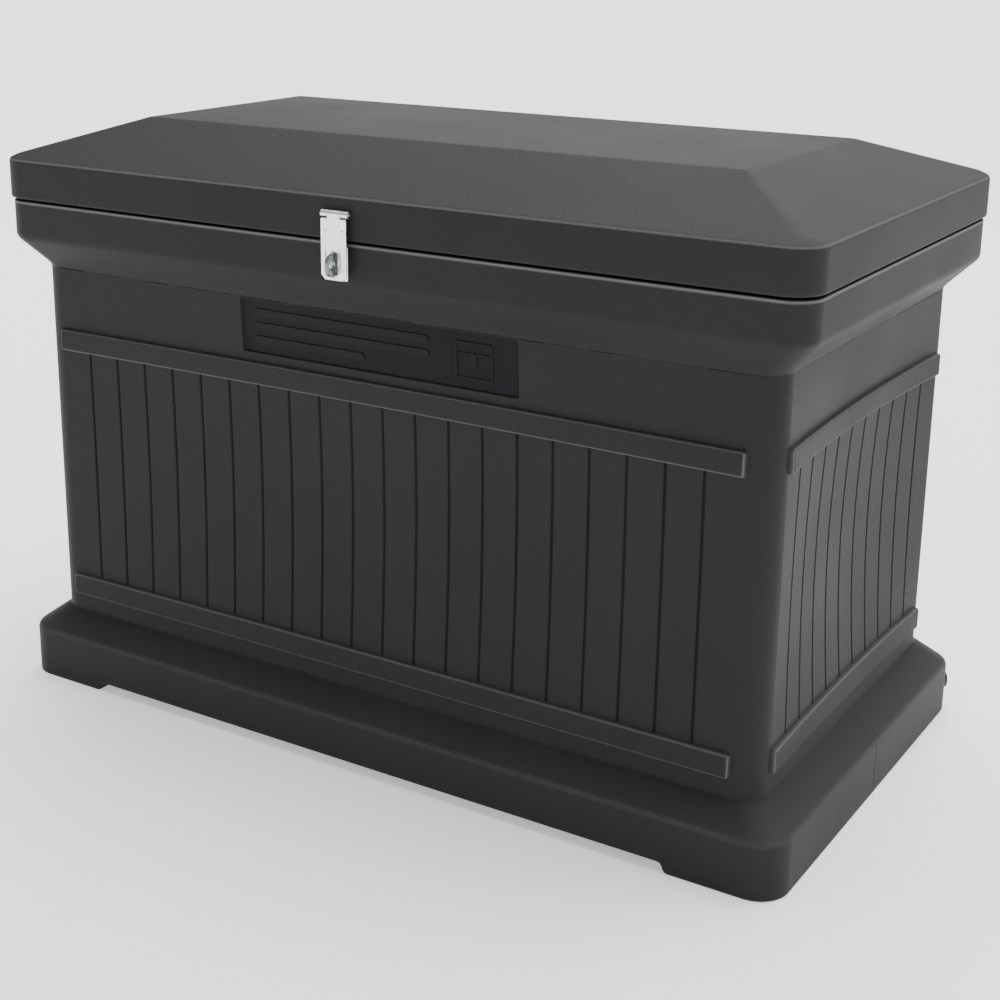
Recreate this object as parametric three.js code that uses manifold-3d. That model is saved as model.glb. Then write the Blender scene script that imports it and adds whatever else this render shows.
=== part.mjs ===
// A free-standing parcel drop box: a rotationally moulded double-wall chest with a hipped lid, on two
// butt hinges and two gas struts, closed by a steel hasp over a padlock staple.
// Millimetres, +Z up. The long side lies along X, the front faces -Y, and the floor is z = 0.
import * as THREE from "three";
import { mergeVertices } from "three/addons/utils/BufferGeometryUtils.js";
import Module from "manifold-3d";

const wasm = await Module();
wasm.setup();

// ---- Driving dimensions -------------------------------------------------------------------------

const gap = 0.3; // between pieces that touch
const skin = 4; // thickness of one moulded skin
const wall = 32; // from the outer face of a side wall to its inner face
const edge = 3.5; // rounding of the moulded edges
const cornerSegments = 5; // flats round each moulded corner

const lid = {
  length: 1100,
  depth: 600,
  radius: 36,
  rim: 50,
  rise: 48,
  topLength: 832,
  topDepth: 318,
  topRadius: 12,
};
const rim = { inset: 3, radius: 34, height: 48 };
const side = { insetX: 38, insetY: 28, radius: 36, height: 474 };
const drawIn = { ends: 16, front: 10, step: 120 }; // how far a cooled wall has pulled in at its middle
const plinth = { overhang: 1, radius: 38, height: 67, slope: 31 };
const cove = 36; // height of the flare under the rim
const feet = { width: 133, height: 12 }; // two runners along Y, with a channel between them
const bayFloor = 56; // top of the parcel bay's floor
const bayRadius = 30;
const lip = { width: 10, height: 8, clearance: 4, bevel: 2 };
const lidGap = 2.5; // open line between the rim and the lid
const lidHollow = { insetX: 55, insetY: 25, height: 42, radius: 30 };

const rail = { height: 28, proud: 6, endInset: 33, round: 3 };
const rails = { lowerTop: 149, upperTop: 489 };
const groove = { width: 4, depth: 1.8, front: 20, side: 10 };
const panel = { left: -180, right: 208, bottom: 501, top: 568, depth: 1.8, radius: 2 };

const leaf = {
  width: 76,
  height: 34,
  thick: 2,
  radius: 3,
  knuckle: 4.5,
  pin: 2.5,
  pinOver: 1.5,
  offset: 330,
  start: 6,
  screwInset: 12,
  screwUp: 18.7,
};
const hinge = { out: 5.3, knuckles: 5, openDegrees: 75 };
const screw = { head: 4, headHeight: 1.8, crown: 1.8, shank: 2, length: 13, point: 0.8, taper: 3 };

const hasp = {
  x: -12,
  width: 35,
  length: 75,
  thick: 1.5,
  chamfer: 5,
  leafWidth: 24,
  leafHeight: 20,
  knuckle: 4,
  pin: 1.6,
  pinOver: 0.8,
  knuckleOver: 1,
  out: 4.8,
  drop: 19.5,
  screwInset: 5.5,
};
const slot = { width: 11, length: 31 };
const rib = { width: 3.4, length: 46, inset: 5.5, down: 40 };
const staple = {
  plateWidth: 24,
  plateHeight: 40,
  plateThick: 1.5,
  eyeHeight: 26,
  eyeThick: 4,
  reach: 24,
  hole: 5,
  tip: 4.7,
  screwInsetX: 5.5,
  screwInsetZ: 5,
};

// The strut's pivots are placed from the lid hinge's axis: towards the front, and down.
const strut = {
  fromWall: 25,
  bodyPivot: { forward: 205, down: 250 },
  lidPivot: { forward: 110, down: 14 },
  tube: 9,
  bore: 7,
  rod: 4,
  eye: 9,
  eyeThick: 6,
  pin: 4,
  tubeStart: 12,
  tubeLength: 165,
  gland: 10,
  piston: 8,
  pistonAt: 34,
  endLength: 16,
  pinHead: 2,
};
const bracket = { width: 46, height: 32, thick: 2.5, base: 26, boss: 7, offset: 4, screwInset: 9 };
const plug = { head: 13, headHeight: 3.5, ease: 1.5, shank: 8.7, hole: 9, length: 10, lead: 3, z: 36 };

// ---- Sizes worked out from them -----------------------------------------------------------------

const half = { x: lid.length / 2, y: lid.depth / 2 };
const wallTop = plinth.height + plinth.slope + side.height;
const rimBottom = wallTop + cove;
const rimTop = rimBottom + rim.height;
const lidBottom = rimTop + lidGap;
const lidTop = lidBottom + lid.rim + lid.rise;
const wallX = half.x - side.insetX;
const wallY = half.y - side.insetY;
const bayX = wallX - wall;
const bayY = wallY - wall;
const lipTop = rimTop + lip.height;
const seat = lipTop + gap; // underside of the lid where it rests on the lip
const ceiling = seat + lidHollow.height;
const rimY = half.y - rim.inset;
const footX = half.x + plinth.overhang - feet.width;
const axis = { y: half.y + hinge.out, z: rimTop + lidGap / 2 };
const bodyPivot = { y: axis.y - strut.bodyPivot.forward, z: axis.z - strut.bodyPivot.down };
const lidPivot = { y: axis.y - strut.lidPivot.forward, z: axis.z - strut.lidPivot.down };
const haspZ = lidBottom + lid.rim - hasp.drop;
const stapleZ = rimTop - rim.height / 2;
const strutX = bayX - strut.fromWall;

// ---- Solids -------------------------------------------------------------------------------------

function solid(geometry) {
  const bare = geometry.index ? geometry.toNonIndexed() : geometry.clone();
  bare.deleteAttribute("normal");
  bare.deleteAttribute("uv");
  const merged = mergeVertices(bare, 1e-4);
  return new wasm.Manifold(
    new wasm.Mesh({
      numProp: 3,
      vertProperties: new Float32Array(merged.attributes.position.array),
      triVerts: new Uint32Array(merged.index.array),
    }),
  );
}

function geometryOf(manifold) {
  const made = manifold.getMesh();
  const indexed = new THREE.BufferGeometry();
  indexed.setAttribute("position", new THREE.BufferAttribute(made.vertProperties, 3));
  indexed.setIndex(new THREE.BufferAttribute(made.triVerts, 1));
  const flat = indexed.toNonIndexed();
  flat.computeVertexNormals();
  return flat;
}

const join = (...geometries) => geometries.map(solid).reduce((a, b) => a.add(b));
const cut = (body, ...tools) => tools.reduce((a, tool) => a.subtract(solid(tool)), body);

const box = (sizeX, sizeY, sizeZ, x = 0, y = 0, z = 0) =>
  new THREE.BoxGeometry(sizeX, sizeY, sizeZ).translate(x, y, z);

// A ring of points round a rectangle with rounded corners, seen from above.
function ring(halfX, halfY, radius, z) {
  const points = [];
  for (let corner = 0; corner < 4; corner++) {
    const signX = corner === 0 || corner === 3 ? 1 : -1;
    const signY = corner < 2 ? 1 : -1;
    for (let i = 0; i <= cornerSegments; i++) {
      const angle = ((corner + i / cornerSegments) * Math.PI) / 2;
      const x = signX * (halfX - radius) + radius * Math.cos(angle);
      const y = signY * (halfY - radius) + radius * Math.sin(angle);
      points.push([x, y, z]);
    }
  }
  return points;
}

// A closed skin through a stack of rings that all have the same number of points.
function loft(rings) {
  const count = rings[0].length;
  const index = [];
  for (let level = 0; level < rings.length - 1; level++) {
    for (let i = 0; i < count; i++) {
      const a = level * count + i;
      const b = level * count + ((i + 1) % count);
      index.push(a, b, b + count, a, b + count, a + count);
    }
  }
  const top = (rings.length - 1) * count;
  for (let i = 1; i < count - 1; i++) {
    index.push(0, i + 1, i);
    index.push(top, top + i, top + i + 1);
  }
  const geometry = new THREE.BufferGeometry();
  geometry.setAttribute("position", new THREE.Float32BufferAttribute(rings.flat(2), 3));
  geometry.setIndex(index);
  return geometry;
}

// A flat plate with rounded corners in the XY plane, from z = 0 up, with round holes [x, y, radius].
function plate(width, height, thick, radius, holes = []) {
  const x = width / 2;
  const y = height / 2;
  const shape = new THREE.Shape();
  shape.absarc(x - radius, y - radius, radius, 0, Math.PI / 2);
  shape.absarc(radius - x, y - radius, radius, Math.PI / 2, Math.PI);
  shape.absarc(radius - x, radius - y, radius, Math.PI, 1.5 * Math.PI);
  shape.absarc(x - radius, radius - y, radius, 1.5 * Math.PI, 2 * Math.PI);
  for (const [holeX, holeY, holeRadius] of holes) {
    shape.holes.push(new THREE.Path().absarc(holeX, holeY, holeRadius, 0, 2 * Math.PI, true));
  }
  return new THREE.ExtrudeGeometry(shape, { depth: thick, bevelEnabled: false, curveSegments: 4 });
}

// A round bar along X.
const barX = (radius, from, to, segments = 12) =>
  new THREE.CylinderGeometry(radius, radius, to - from, segments)
    .rotateZ(Math.PI / 2)
    .translate((from + to) / 2, 0, 0);

// A turned piece along Z, from [radius, z] points listed upwards from the axis and back to it.
const turned = (profile, segments = 12) =>
  new THREE.LatheGeometry(
    profile.map(([radius, z]) => new THREE.Vector2(radius, z)),
    segments,
  ).rotateX(Math.PI / 2);

// Faces of the box: local x runs along the face, y up and z outwards, seen from outside.
const FRONT = 0;
const RIGHT = 1;
const BACK = 2;
const LEFT = 3;
const onFace = (geometry, face) =>
  geometry.rotateX(Math.PI / 2).rotateZ((face * Math.PI) / 2);

// ---- Materials ----------------------------------------------------------------------------------

const finish = (color, roughness, metalness) => () =>
  new THREE.MeshStandardMaterial({ color, roughness, metalness });
const polyethylene = finish(0x3a3b3e, 0.62, 0);
const zincPlate = finish(0xc9cdd1, 0.3, 1);
const blackSteel = finish(0x17181a, 0.4, 0.2);
const polishedSteel = finish(0xd5d7da, 0.18, 1);
const blackPlastic = finish(0x1d1e20, 0.5, 0);

const dropBox = new THREE.Group();

function addPiece(name, manifold, material, parent = dropBox) {
  const mesh = new THREE.Mesh(geometryOf(manifold), material());
  mesh.name = name;
  parent.add(mesh);
  return mesh;
}

// ---- Screws: where each one sits, and the hole its piece of moulding needs ----------------------

const pilot = screw.shank + gap;

// A pan-head screw along local z, its head resting on a plate at height "seatedOn".
function panHeadScrew(seatedOn) {
  const under = seatedOn + gap;
  const top = under + screw.headHeight;
  return turned(
    [
      [0, under - screw.length],
      [screw.point, under - screw.length],
      [screw.shank, under - screw.length + screw.taper],
      [screw.shank, under],
      [screw.head, under],
      [screw.head, under + screw.headHeight / 2],
      [screw.crown, top],
      [0, top],
    ],
    8,
  );
}

// A drilled hole along Y, through one skin.
const drill = (radius, x, y, z) =>
  new THREE.CylinderGeometry(radius, radius, 3 * skin, 8).translate(x, y, z);

const hingeScrewX = [-1, 0, 1].map((step) => step * (leaf.width / 2 - leaf.screwInset));
const hingeScrewDrop = leaf.start + leaf.screwUp;
const stapleScrews = [-1, 1].flatMap((sx) =>
  [-1, 1].map((sz) => [
    sx * (staple.plateWidth / 2 - staple.screwInsetX),
    stapleZ + sz * (staple.plateHeight / 2 - staple.screwInsetZ),
  ]),
);
const haspScrewX = hasp.leafWidth / 2 - hasp.screwInset;
const haspScrewZ = haspZ - (hasp.knuckle + hasp.leafHeight) / 2;
const strutScrewStep = bracket.width / 2 - bracket.screwInset;
const lidBracketX = strutX + strut.eyeThick / 2 + bracket.offset; // the flange's inner face
const lidBracketScrewX = lidBracketX - bracket.base / 2;
const lost = lostMotion();
const lidBracketY = lidPivot.y + (lost.front + lost.back) / 2;

// ---- Body moulding ------------------------------------------------------------------------------

// The body's outside, drawn in by "inset": plinth, slope, walls, cove and rim.
function bodyOutside(inset) {
  const plinthX = half.x + plinth.overhang - inset;
  const plinthY = half.y + plinth.overhang - inset;
  const rimX = half.x - rim.inset - inset;
  const upperY = rimY - inset;
  const sideRadius = side.radius - inset;
  const slopeTop = plinth.height + plinth.slope;
  return loft([
    ring(plinthX - edge, plinthY - edge, plinth.radius - edge - inset, inset),
    ring(plinthX, plinthY, plinth.radius - inset, inset + edge),
    ring(plinthX, plinthY, plinth.radius - inset, plinth.height - edge - inset / 2),
    ring(plinthX - edge, plinthY - edge, plinth.radius - edge - inset, plinth.height - inset / 2),
    ring(wallX - inset, wallY - inset, sideRadius, slopeTop - inset / 2),
    ring(wallX - inset, wallY - inset, sideRadius, wallTop + inset / 2),
    ring(rimX, upperY, rim.radius - inset, rimBottom + inset / 2),
    ring(rimX, upperY, rim.radius - inset, rimTop - edge - inset),
    ring(rimX - edge, upperY - edge, rim.radius - edge - inset, rimTop - inset),
  ]);
}

const bayShape = (grow, bottom, top) =>
  loft([
    ring(bayX + grow, bayY + grow, bayRadius + grow, bottom),
    ring(bayX + grow, bayY + grow, bayRadius + grow, top),
  ]);

// A moulded wall pulls in as it cools: nothing at its corners, its foot and its top, most at its middle.
function pulledIn(manifold) {
  const foot = plinth.height + plinth.slope;
  const share = (along, reach) => Math.max(0, 1 - (along / reach) ** 2);
  return manifold.refineToLength(drawIn.step).warp((point) => {
    const [x, y, z] = point;
    const level = (z - foot) / side.height;
    if (level <= 0 || level >= 1) return;
    const pull = Math.sin(Math.PI * level);
    if (Math.abs(x) > bayX + skin) {
      point[0] -= Math.sign(x) * drawIn.ends * pull * share(y, wallY - side.radius);
    }
    if (Math.abs(y) > bayY + skin) {
      point[1] -= Math.sign(y) * drawIn.front * pull * share(x, wallX - side.radius);
    }
  });
}

// The hollow between the two skins.
function bodyHollow() {
  const above = lipTop + skin;
  return cut(
    pulledIn(solid(bodyOutside(skin))),
    bayShape(skin, bayFloor - skin, above),
    box(2 * (footX + skin), 2 * lid.depth, 2 * (feet.height + skin)),
  );
}

function railsOn(face) {
  const along = face === FRONT || face === BACK ? wallX : wallY;
  const out = face === FRONT || face === BACK ? wallY : wallX;
  const length = 2 * (along - rail.endInset);
  return [rails.lowerTop, rails.upperTop].map((top) =>
    onFace(
      plate(length, rail.height, rail.proud + skin / 2, rail.round).translate(
        0,
        top - rail.height / 2,
        out - skin / 2,
      ),
      face,
    ),
  );
}

function groovesOn(face) {
  const long = face === FRONT || face === BACK;
  const along = (long ? wallX : wallY) - rail.endInset;
  const out = long ? wallY : wallX;
  const planks = (long ? groove.front : groove.side) + 1;
  const pitch = (2 * along) / planks;
  const bottom = rails.lowerTop - rail.round;
  const height = rails.upperTop - rail.height + rail.round - bottom;
  return Array.from({ length: planks - 1 }, (_, i) =>
    onFace(
      box(groove.width, height, 2 * groove.depth, (i + 1) * pitch - along, bottom + height / 2, out),
      face,
    ),
  );
}

// The shallow label field on the front, left blank.
const labelField = () =>
  onFace(
    plate(
      panel.right - panel.left,
      panel.top - panel.bottom,
      2 * panel.depth,
      panel.radius,
    ).translate((panel.left + panel.right) / 2, (panel.top + panel.bottom) / 2, wallY - panel.depth),
    FRONT,
  );

function bodyPilotHoles() {
  const holes = stapleScrews.map(([x, z]) => drill(pilot, hasp.x + x, -rimY, z));
  for (const offset of [-leaf.offset, leaf.offset]) {
    for (const x of hingeScrewX) {
      holes.push(drill(pilot, offset + x, rimY, axis.z - hingeScrewDrop));
    }
  }
  for (const sign of [-1, 1]) {
    for (const step of [-strutScrewStep, strutScrewStep]) {
      const hole = new THREE.CylinderGeometry(pilot, pilot, 3 * skin, 8).rotateZ(Math.PI / 2);
      holes.push(hole.translate(sign * bayX, bodyPivot.y + step, bodyPivot.z));
    }
  }
  return holes;
}

// Plugs and their holes are drawn along local z; the drain's is on the plinth's right rear corner.
const plugHole = () =>
  new THREE.CylinderGeometry(plug.hole, plug.hole, 3 * skin, 16).rotateX(Math.PI / 2);
const drainReach = plinth.radius * Math.cos(Math.PI / (4 * cornerSegments));
const atDrain = (geometry) =>
  geometry
    .translate(0, 0, drainReach)
    .rotateY(Math.PI / 2)
    .rotateZ(Math.PI / 4)
    .translate(
      half.x + plinth.overhang - plinth.radius,
      half.y + plinth.overhang - plinth.radius,
      plug.z,
    );

function bodyShell() {
  const lipX = bayX + lip.width;
  const lipY = bayY + lip.width;
  const raisedLip = loft([
    ring(lipX, lipY, bayRadius + lip.width, rimTop - skin / 2),
    ring(lipX, lipY, bayRadius + lip.width, lipTop - lip.bevel),
    ring(lipX - lip.bevel, lipY - lip.bevel, bayRadius + lip.width - lip.bevel, lipTop),
  ]);
  const faces = [FRONT, RIGHT, BACK, LEFT];
  const panelled = cut(solid(bodyOutside(0)), ...faces.flatMap(groovesOn), labelField());
  const railed = panelled.add(join(...faces.flatMap(railsOn)));
  const outside = pulledIn(railed).add(solid(raisedLip));
  const channel = box(2 * footX, 2 * lid.depth, 2 * feet.height);
  const bay = bayShape(0, bayFloor, lipTop + skin);
  const shell = cut(outside, bay, channel).subtract(bodyHollow());
  return cut(shell, atDrain(plugHole()), ...bodyPilotHoles());
}

addPiece("body_shell", bodyShell(), polyethylene);

// A press-in plug with a flange, along local z with its shank pointing inwards.
const plugShape = () =>
  turned(
    [
      [0, -plug.length],
      [plug.shank - plug.ease, -plug.length],
      [plug.shank, -plug.length + plug.lead],
      [plug.shank, gap],
      [plug.head, gap],
      [plug.head, gap + plug.headHeight - plug.ease],
      [plug.head - plug.ease, gap + plug.headHeight],
      [0, gap + plug.headHeight],
    ],
    16,
  );

addPiece("drain_plug", solid(atDrain(plugShape())), blackPlastic);

// ---- Lid moulding -------------------------------------------------------------------------------

function lidOutside(inset) {
  const rimUp = lidBottom + lid.rim;
  const x = half.x - inset;
  const y = half.y - inset;
  return loft([
    ring(x - edge, y - edge, lid.radius - edge - inset, lidBottom + inset),
    ring(x, y, lid.radius - inset, lidBottom + edge + inset),
    ring(x, y, lid.radius - inset, rimUp - edge - inset / 2),
    ring(x - edge, y - edge, lid.radius - edge - inset, rimUp - inset / 2),
    ring((lid.topLength - inset) / 2, (lid.topDepth - inset) / 2, lid.topRadius, lidTop - inset),
  ]);
}

// The space under the lid: the seat over the body's lip, and the deeper hollow inside it.
function lidUnderside(grow) {
  const seatGrow = lip.width + lip.clearance + grow;
  const hollowX = bayX - lidHollow.insetX + grow;
  const hollowY = bayY - lidHollow.insetY + grow;
  return join(
    loft([
      ring(bayX + seatGrow, bayY + seatGrow, bayRadius + seatGrow, lidBottom - skin),
      ring(bayX + seatGrow, bayY + seatGrow, bayRadius + seatGrow, seat + grow),
    ]),
    loft([
      ring(hollowX, hollowY, lidHollow.radius + grow, lidBottom - skin),
      ring(hollowX, hollowY, lidHollow.radius + grow, ceiling + grow),
    ]),
  );
}

function lidPilotHoles() {
  const holes = [-haspScrewX, haspScrewX].map((x) => drill(pilot, hasp.x + x, -half.y, haspScrewZ));
  for (const offset of [-leaf.offset, leaf.offset]) {
    for (const x of hingeScrewX) {
      holes.push(drill(pilot, offset + x, half.y, axis.z + hingeScrewDrop));
    }
  }
  for (const sign of [-1, 1]) {
    for (const step of [-strutScrewStep, strutScrewStep]) {
      const hole = new THREE.CylinderGeometry(pilot, pilot, 3 * skin, 8).rotateX(Math.PI / 2);
      holes.push(hole.translate(sign * lidBracketScrewX, lidBracketY + step, seat));
    }
  }
  return holes;
}

function lidShell() {
  const hollow = solid(lidOutside(skin)).subtract(lidUnderside(skin));
  const vent = plugHole().translate(0, 0, ceiling);
  const shell = solid(lidOutside(0)).subtract(lidUnderside(0)).subtract(hollow);
  return cut(shell, vent, ...lidPilotHoles());
}

addPiece("lid_shell", lidShell(), polyethylene);

const ventPlug = plugShape().rotateX(Math.PI).translate(0, 0, ceiling);
addPiece("lid_vent_plug", solid(ventPlug), blackPlastic);

// ---- Butt hinges on the back --------------------------------------------------------------------

// One leaf in local face axes, with the pivot at the origin. "up" is 1 for the lid's leaf, -1 for the
// body's. "back" is how far the leaf's inner face lies from the pivot.
function hingeLeaf(up, back) {
  const middle = up * (leaf.start + leaf.height / 2);
  const screwY = up * hingeScrewDrop;
  const holes = hingeScrewX.map((x) => [x, screwY - middle, pilot]);
  const flat = plate(leaf.width, leaf.height, leaf.thick, leaf.radius, holes);
  const pieces = [flat.translate(0, middle, -back)];
  const step = leaf.width / hinge.knuckles;
  for (let i = 0; i < hinge.knuckles; i++) {
    const own = up === 1 ? i % 2 === 1 : i % 2 === 0;
    if (!own) continue;
    const from = i * step - leaf.width / 2 + gap / 2;
    const to = from + step - gap;
    const webTop = leaf.start + leaf.thick;
    pieces.push(barX(leaf.knuckle, from, to));
    pieces.push(box(to - from, webTop - 1, back, (from + to) / 2, (up * (webTop + 1)) / 2, -back / 2));
  }
  const bore = barX(leaf.pin + gap, -leaf.width, leaf.width, 10);
  return cut(join(...pieces), bore);
}

const toBack = (manifold, x) => {
  const geometry = geometryOf(manifold).translate(x, axis.z, axis.y);
  return solid(onFace(geometry, BACK));
};

const onBackFace = (geometry, x, z, out) => solid(onFace(geometry.translate(x, z, out), BACK));

for (const [hand, x] of [["left", leaf.offset], ["right", -leaf.offset]]) {
  const bodyBack = axis.y - rimY - gap;
  const lidBack = axis.y - half.y - gap;
  addPiece("hinge_body_leaf_" + hand, toBack(hingeLeaf(-1, bodyBack), x), zincPlate);
  addPiece("hinge_lid_leaf_" + hand, toBack(hingeLeaf(1, lidBack), x), zincPlate);
  const pinEnd = leaf.width / 2 + leaf.pinOver;
  const pin = barX(leaf.pin, -pinEnd, pinEnd, 10);
  addPiece("hinge_pin_" + hand, toBack(solid(pin), x), zincPlate);
  hingeScrewX.forEach((step, i) => {
    const number = "_" + (i + 1);
    const bodyScrew = panHeadScrew(leaf.thick - bodyBack);
    const lidScrew = panHeadScrew(leaf.thick - lidBack);
    const low = axis.z - hingeScrewDrop;
    const high = axis.z + hingeScrewDrop;
    const across = x + step;
    addPiece("hinge_body_screw_" + hand + number, onBackFace(bodyScrew, across, low, axis.y), zincPlate);
    addPiece("hinge_lid_screw_" + hand + number, onBackFace(lidScrew, across, high, axis.y), zincPlate);
  });
}

// ---- Hasp on the front --------------------------------------------------------------------------

const onFrontFace = (geometry, x, z, out) => solid(onFace(geometry.translate(x, z, out), FRONT));
const haspOut = half.y + hasp.out;
const knuckleWidth = hasp.width / 4;
const haspEnd = hasp.width / 2 + hasp.knuckleOver;

function haspLeaf() {
  const back = hasp.out - gap;
  const middle = -hasp.leafHeight / 2;
  const holes = [-haspScrewX, haspScrewX].map((x) => [x, haspScrewZ - haspZ - middle, pilot]);
  const flat = plate(hasp.leafWidth, hasp.leafHeight, hasp.thick, hasp.thick, holes);
  const knuckles = [-1, 1].flatMap((sign) => {
    const from = sign * haspEnd;
    const to = sign * (knuckleWidth + gap);
    return barX(hasp.knuckle, Math.min(from, to), Math.max(from, to));
  });
  const clearance = box(2 * (knuckleWidth + gap), 2 * (hasp.knuckle + 1), 3 * hasp.knuckle);
  const bore = barX(hasp.pin + gap, -hasp.width, hasp.width, 8);
  return cut(join(flat.translate(0, middle, -back), ...knuckles), clearance, bore);
}

// The strap hangs from its knuckle, tangent to it on the outside, over the padlock staple.
function haspStrap() {
  const shape = new THREE.Shape();
  const x = hasp.width / 2;
  const top = -hasp.knuckle - 1;
  const end = -hasp.length;
  shape.moveTo(-x, top);
  shape.lineTo(-x, end + hasp.chamfer);
  shape.lineTo(-x + hasp.chamfer, end);
  shape.lineTo(x - hasp.chamfer, end);
  shape.lineTo(x, end + hasp.chamfer);
  shape.lineTo(x, top);
  const flat = new THREE.ExtrudeGeometry(shape, { depth: hasp.thick, bevelEnabled: false });
  const face = hasp.knuckle - hasp.thick;
  const neck = box(2 * knuckleWidth, -2 * top, hasp.thick, 0, top, face + hasp.thick / 2);
  const ribs = [-1, 1].map((sign) =>
    plate(rib.width, rib.length, hasp.thick, rib.width * 0.45).translate(
      sign * (x - rib.inset),
      -rib.down,
      face + hasp.thick / 2,
    ),
  );
  const opening = plate(slot.width, slot.length, 4 * hasp.thick, slot.width * 0.45).translate(
    0,
    stapleZ - haspZ,
    face - hasp.thick,
  );
  return cut(
    join(flat.translate(0, 0, face), neck, barX(hasp.knuckle, -knuckleWidth, knuckleWidth), ...ribs),
    opening,
    barX(hasp.pin + gap, -hasp.width, hasp.width, 8),
  );
}

const placeHasp = (manifold) => onFrontFace(geometryOf(manifold), hasp.x, haspZ, haspOut);
addPiece("hasp_leaf", placeHasp(haspLeaf()), zincPlate);
addPiece("hasp_strap", placeHasp(haspStrap()), zincPlate);
const haspPin = barX(hasp.pin, -haspEnd - hasp.pinOver, haspEnd + hasp.pinOver, 8);
addPiece("hasp_pin", placeHasp(solid(haspPin)), zincPlate);
[-haspScrewX, haspScrewX].forEach((x, i) => {
  const head = panHeadScrew(half.y + gap + hasp.thick);
  addPiece("hasp_screw_" + (i + 1), onFrontFace(head, hasp.x + x, haspScrewZ, 0), zincPlate);
});

const staplePlate = plate(
  staple.plateWidth,
  staple.plateHeight,
  staple.plateThick,
  2,
  stapleScrews.map(([x, z]) => [x, z - stapleZ, pilot]),
);
addPiece("staple_plate", onFrontFace(staplePlate, hasp.x, stapleZ, rimY + gap), zincPlate);

// The padlock eye: an upright tongue with a cross hole, rounded at its outer end.
function stapleEye() {
  const start = rimY + 2 * gap + staple.plateThick;
  const end = half.y + staple.reach;
  const reach = end - start;
  const centre = reach - staple.tip - staple.hole;
  const tongue = plate(2 * reach, staple.eyeHeight, staple.eyeThick, staple.eyeHeight * 0.4, [
    [centre, 0, staple.hole],
  ]).translate(0, 0, -staple.eyeThick / 2);
  const root = box(3 * reach, 2 * staple.eyeHeight, 2 * staple.eyeThick, -1.5 * reach);
  const upright = geometryOf(cut(solid(tongue), root)).rotateY(-Math.PI / 2);
  return onFrontFace(upright, hasp.x, stapleZ, start);
}

addPiece("staple_eye", stapleEye(), zincPlate);
stapleScrews.forEach(([x, z], i) => {
  const head = panHeadScrew(rimY + gap + staple.plateThick);
  addPiece("staple_screw_" + (i + 1), onFrontFace(head, hasp.x + x, z, 0), zincPlate);
});

// ---- Gas struts inside, one at each end ---------------------------------------------------------

// How far the strut's even travel strays from the lid's bracket between shut and open, in the lid's
// own axes, so that the bracket's slot is as long as the lost motion.
function lostMotion() {
  const open = THREE.MathUtils.degToRad(hinge.openDegrees);
  const { forward, down } = strut.lidPivot;
  const target = (t) => [
    axis.y - forward * Math.cos(t) - down * Math.sin(t) - bodyPivot.y,
    axis.z + forward * Math.sin(t) - down * Math.cos(t) - bodyPivot.z,
  ];
  const lengthAt = (t) => Math.hypot(...target(t));
  const angleAt = (t) => Math.atan2(...target(t));
  const strays = Array.from({ length: 31 }, (_, i) => {
    const t = (i / 30) * open;
    const angle = THREE.MathUtils.lerp(angleAt(0), angleAt(open), i / 30);
    const length = THREE.MathUtils.lerp(lengthAt(0), lengthAt(open), i / 30);
    const [y, z] = target(t);
    const offY = length * Math.sin(angle) - y;
    const offZ = length * Math.cos(angle) - z;
    return [offY * Math.cos(t) - offZ * Math.sin(t), offY * Math.sin(t) + offZ * Math.cos(t)];
  });
  const alongY = strays.map(([y]) => y);
  const alongZ = strays.map(([, z]) => z);
  return {
    front: Math.min(...alongY),
    back: Math.max(...alongY),
    low: Math.min(...alongZ),
    high: Math.max(...alongZ),
  };
}

const span = Math.hypot(lidPivot.y - bodyPivot.y, lidPivot.z - bodyPivot.z);
const lean = Math.atan2(lidPivot.y - bodyPivot.y, lidPivot.z - bodyPivot.z);
const tubeTop = strut.tubeStart + strut.tubeLength;
const pinHole = strut.pin + gap;
const eyeHalf = strut.eyeThick / 2;

// A strut's pieces are drawn upright from the lower pivot, then leaned into place.
const leaned = (manifold, sign) =>
  solid(geometryOf(manifold).rotateX(-lean).translate(sign * strutX, bodyPivot.y, bodyPivot.z));

const eyeDisc = (z) => barX(strut.eye, -eyeHalf, eyeHalf, 16).translate(0, 0, z);
const eyeBore = (z) => barX(pinHole, -strut.eye, strut.eye, 12).translate(0, 0, z);

function strutTube() {
  const bottom = strut.tubeStart;
  const barrel = turned(
    [
      [0, bottom],
      [strut.tube - 1, bottom],
      [strut.tube, bottom + 1],
      [strut.tube, tubeTop],
      [strut.bore, tubeTop],
      [strut.bore, bottom + strut.tube],
      [0, bottom + strut.tube],
    ],
    16,
  );
  const neck = box(strut.eyeThick, strut.tube * 1.4, bottom + 1, 0, 0, (bottom + 1) / 2);
  return cut(join(barrel, neck, eyeDisc(0)), eyeBore(0));
}

function strutGland() {
  const bottom = tubeTop + gap;
  const top = bottom + strut.gland;
  const inner = strut.rod + gap;
  return solid(
    turned(
      [
        [inner, bottom],
        [strut.tube, bottom],
        [strut.tube, top - 2],
        [strut.tube - 2, top],
        [inner, top],
        [inner, bottom],
      ],
      16,
    ),
  );
}

const roundBar = (radius, from, to) =>
  solid(
    turned([
      [0, from],
      [radius, from],
      [radius, to],
      [0, to],
    ]),
  );

const strutPiston = () => roundBar(strut.bore - gap, strut.pistonAt, strut.pistonAt + strut.piston);
const strutRod = () =>
  roundBar(strut.rod, strut.pistonAt + strut.piston + gap, span - strut.endLength - gap);

function strutRodEnd() {
  const sleeve = turned([
    [0, span - strut.endLength],
    [strut.rod + 2, span - strut.endLength],
    [strut.rod + 2, span - strut.eye + 1],
    [0, span - strut.eye + 1],
  ]);
  return cut(join(sleeve, eyeDisc(span)), eyeBore(span));
}

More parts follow.
